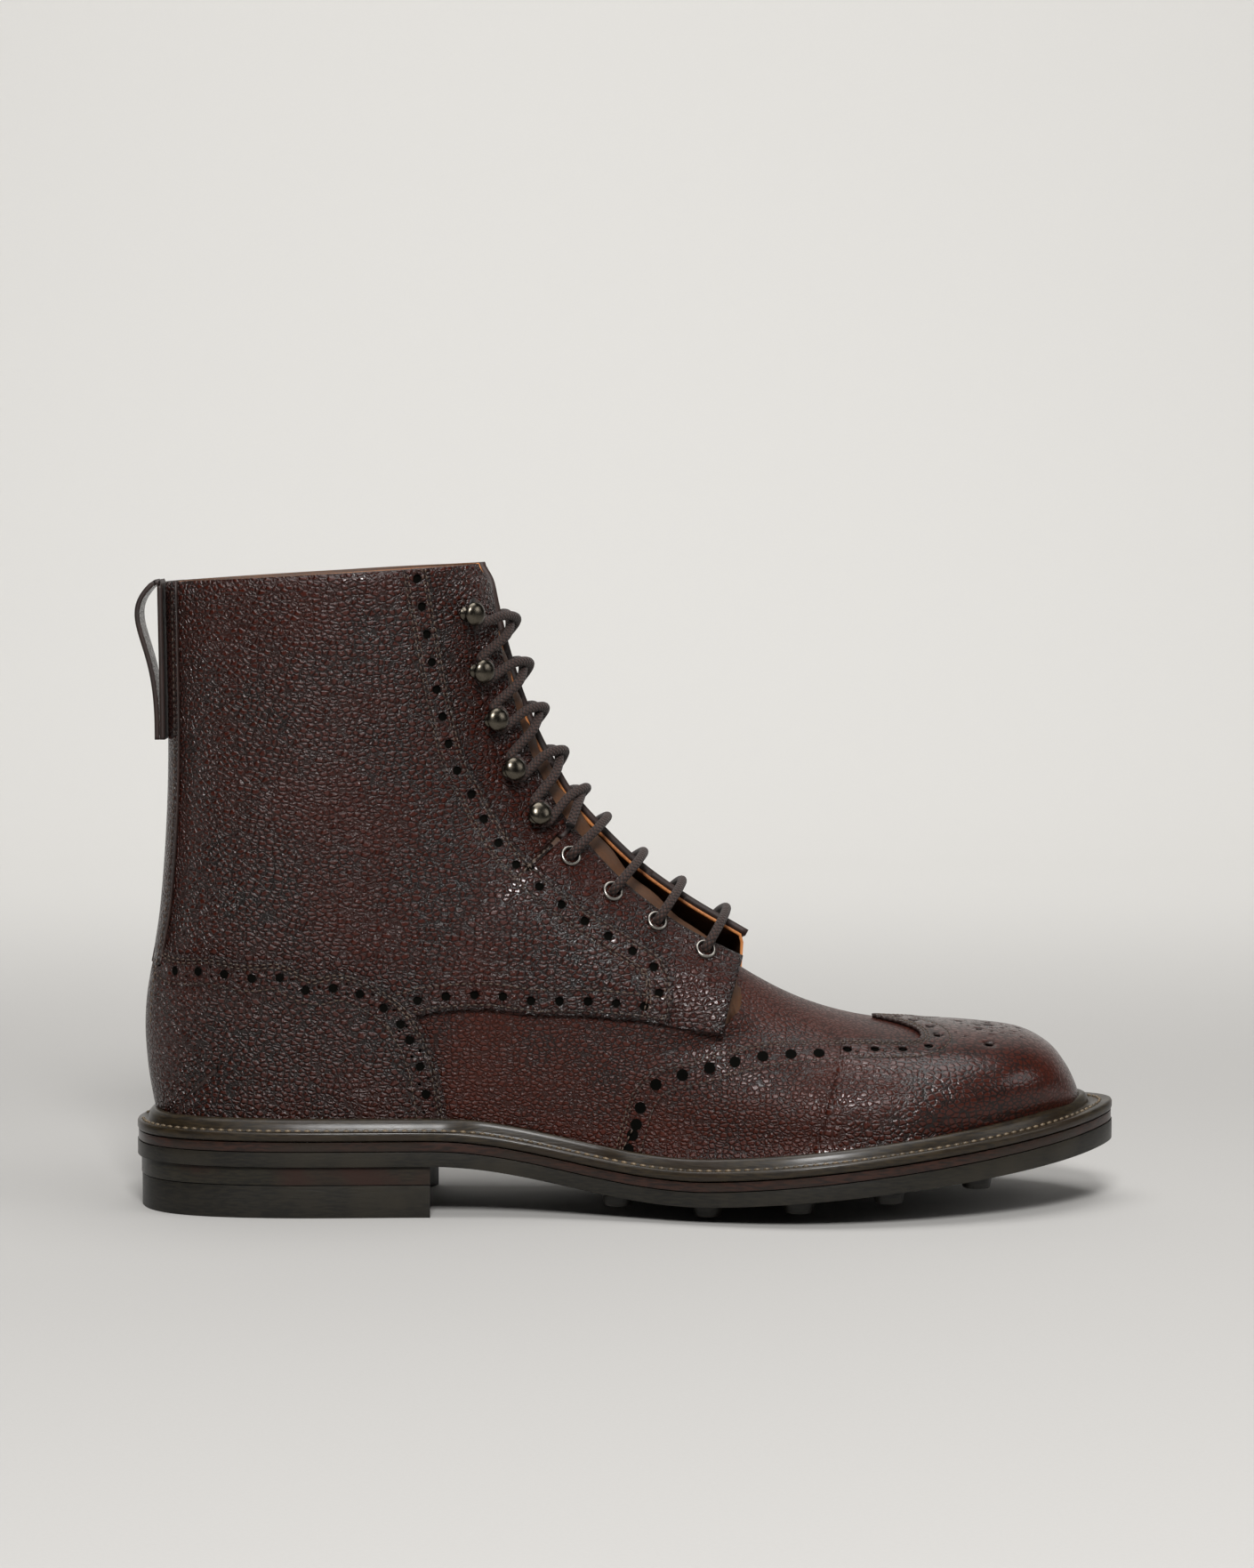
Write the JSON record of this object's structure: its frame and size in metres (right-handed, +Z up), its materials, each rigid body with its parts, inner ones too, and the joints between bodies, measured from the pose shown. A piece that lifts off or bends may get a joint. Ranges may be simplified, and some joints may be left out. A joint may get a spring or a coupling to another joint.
{
  "type": "derby boot",
  "caption": "Right lace-up brogue derby boot with punched wing toe cap, heel counter, storm welt, studded sole, stacked heel and pull loop.",
  "frame": {"origin": "middle of the heel's rest face, on the floor", "axes": "+X to the toe, +Y to the inner side of the foot, +Z up"},
  "size_m": [0.313, 0.1118, 0.2046],
  "materials": {
    "tread_rubber": "matt dark rubber",
    "sole_leather": "burnished stacked leather edge",
    "welt_leather": "satin, stitched",
    "insole_leather": "matt natural leather",
    "upper_leather": "waxed pebble grain",
    "overlay_leather": "polished fine grain",
    "hardware": "gunmetal",
    "lace": "waxed round braid"
  },
  "bodies": {
    "root": {"top_piece": "tread_rubber", "heel_lift": "sole_leather", "outsole": "tread_rubber", "midsole": "sole_leather", "welt": "welt_leather", "insole": "insole_leather", "upper": "upper_leather", "tongue": "upper_leather", "toe_cap": "overlay_leather", "counter": "overlay_leather", "backstay": "overlay_leather", "pull_loop": "upper_leather", "eyelet_lateral_1": "hardware", "eyelet_lateral_2": "hardware", "eyelet_lateral_3": "hardware", "eyelet_lateral_4": "hardware", "eyelet_medial_1": "hardware", "eyelet_medial_2": "hardware", "eyelet_medial_3": "hardware", "eyelet_medial_4": "hardware", "hook_lateral_1": "hardware", "hook_lateral_2": "hardware", "hook_lateral_3": "hardware", "hook_lateral_4": "hardware", "hook_lateral_5": "hardware", "hook_medial_1": "hardware", "hook_medial_2": "hardware", "hook_medial_3": "hardware", "hook_medial_4": "hardware", "hook_medial_5": "hardware", "lace_bar_1": "lace", "lace_bar_2": "lace", "lace_bar_3": "lace", "lace_bar_4": "lace", "lace_crossings": "lace"}
  },
  "joints": []
}
